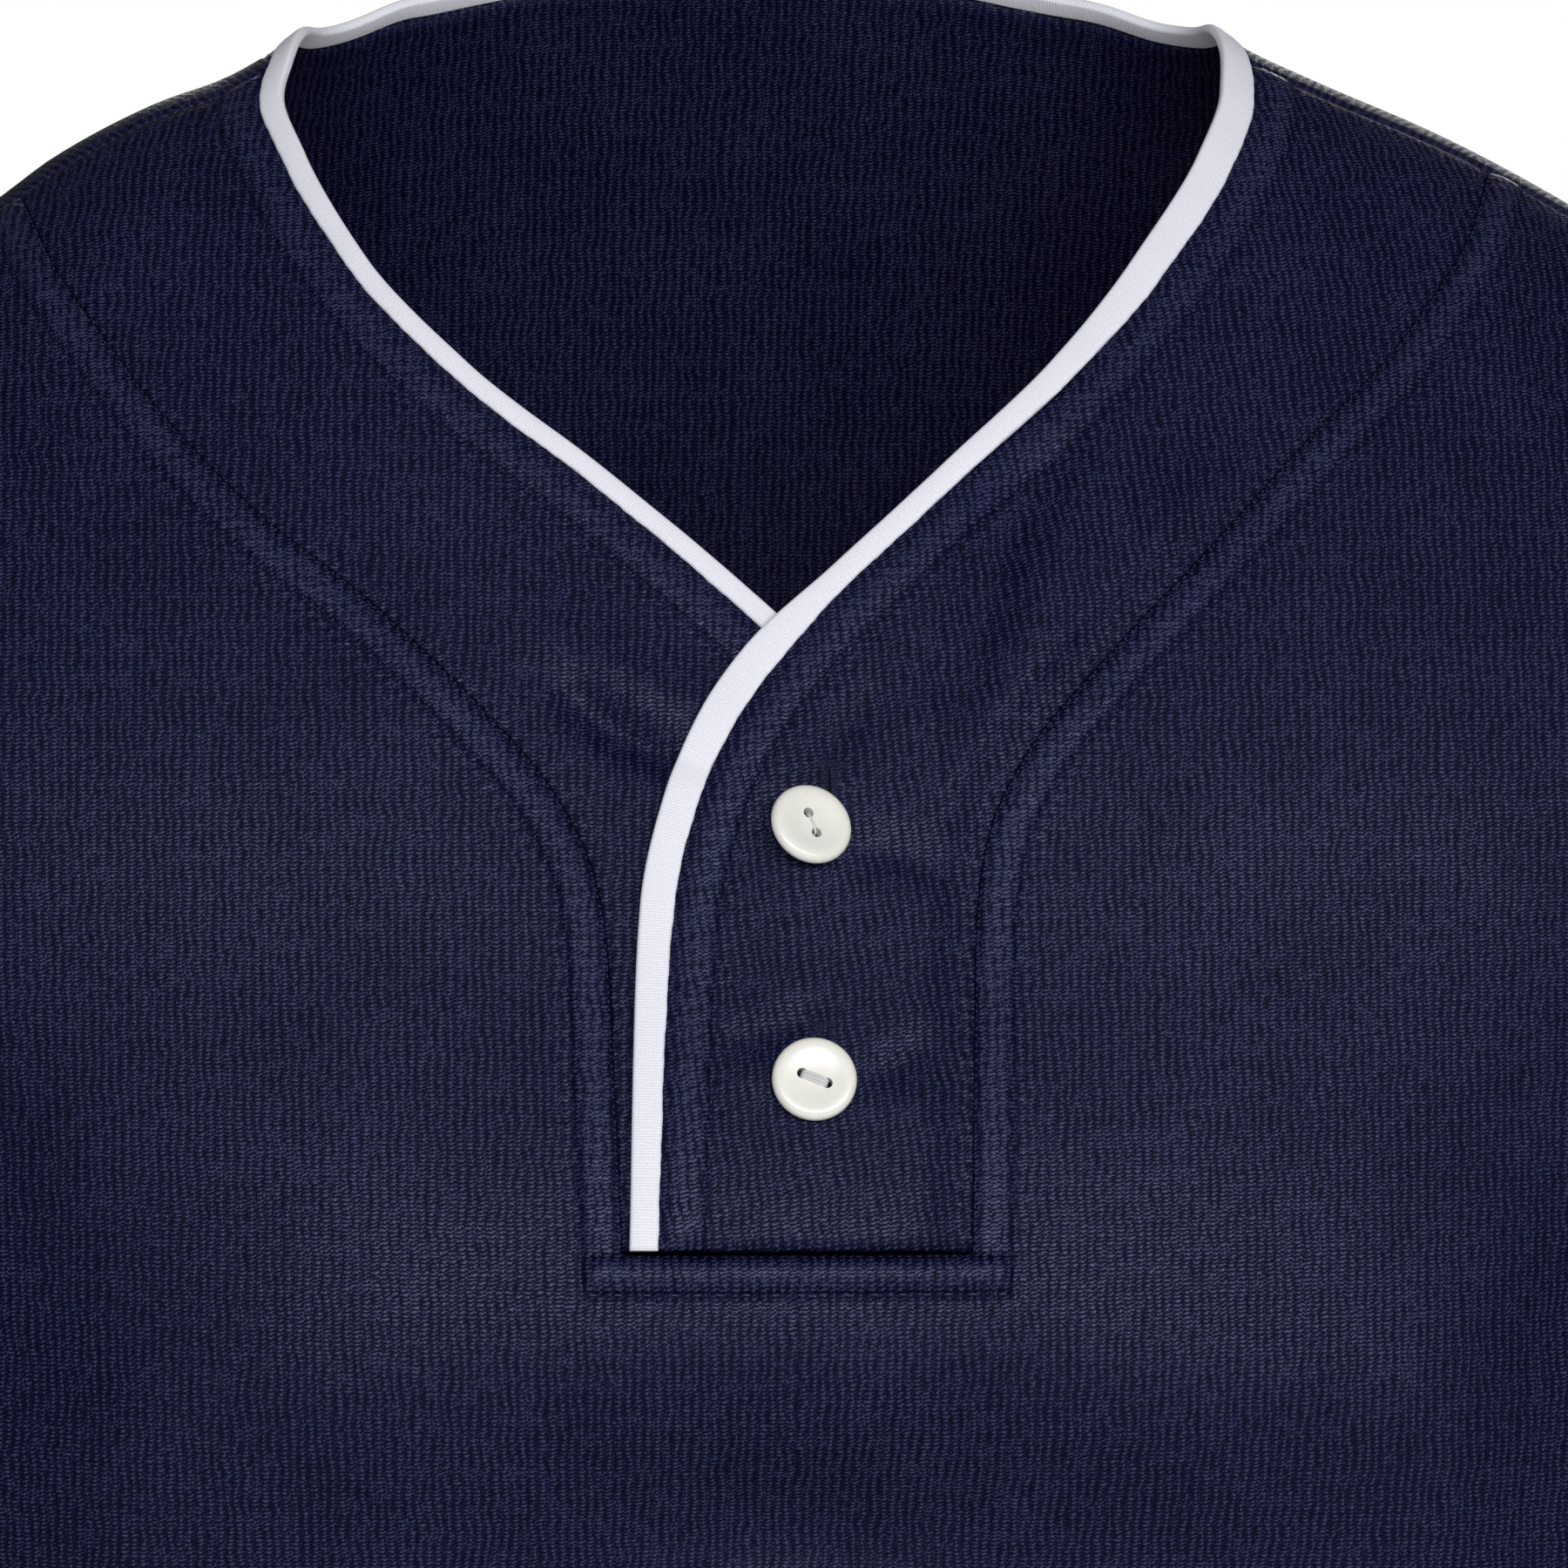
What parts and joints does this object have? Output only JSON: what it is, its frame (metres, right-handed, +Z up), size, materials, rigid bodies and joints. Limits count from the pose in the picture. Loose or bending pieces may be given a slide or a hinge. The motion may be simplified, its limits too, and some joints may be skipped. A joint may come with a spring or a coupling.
{
  "type": "softball jersey",
  "caption": "Short-sleeved softball jersey with a buttoned V placket and bound neck, hollow as worn, open at neck, hem and cuffs.",
  "frame": {"origin": "between the shoulders, level with the sides of the neck, where the wearer's neck carries the jersey", "axes": "+Z up, the front faces -Y, +X is the wearer's left side"},
  "size_m": [0.6284, 0.2333, 0.6778],
  "materials": {
    "navy_knit": "matte textured polyester knit",
    "white_binding": "matte fine knit",
    "white_button": "glossy"
  },
  "bodies": {
    "root": {"front_body": "navy_knit", "back_body": "navy_knit", "sleeve_left": "navy_knit", "sleeve_right": "navy_knit", "neck_band_left": "navy_knit", "neck_band_right": "navy_knit", "neck_binding": "white_binding", "button_upper": "white_button", "button_lower": "white_button"}
  },
  "joints": []
}
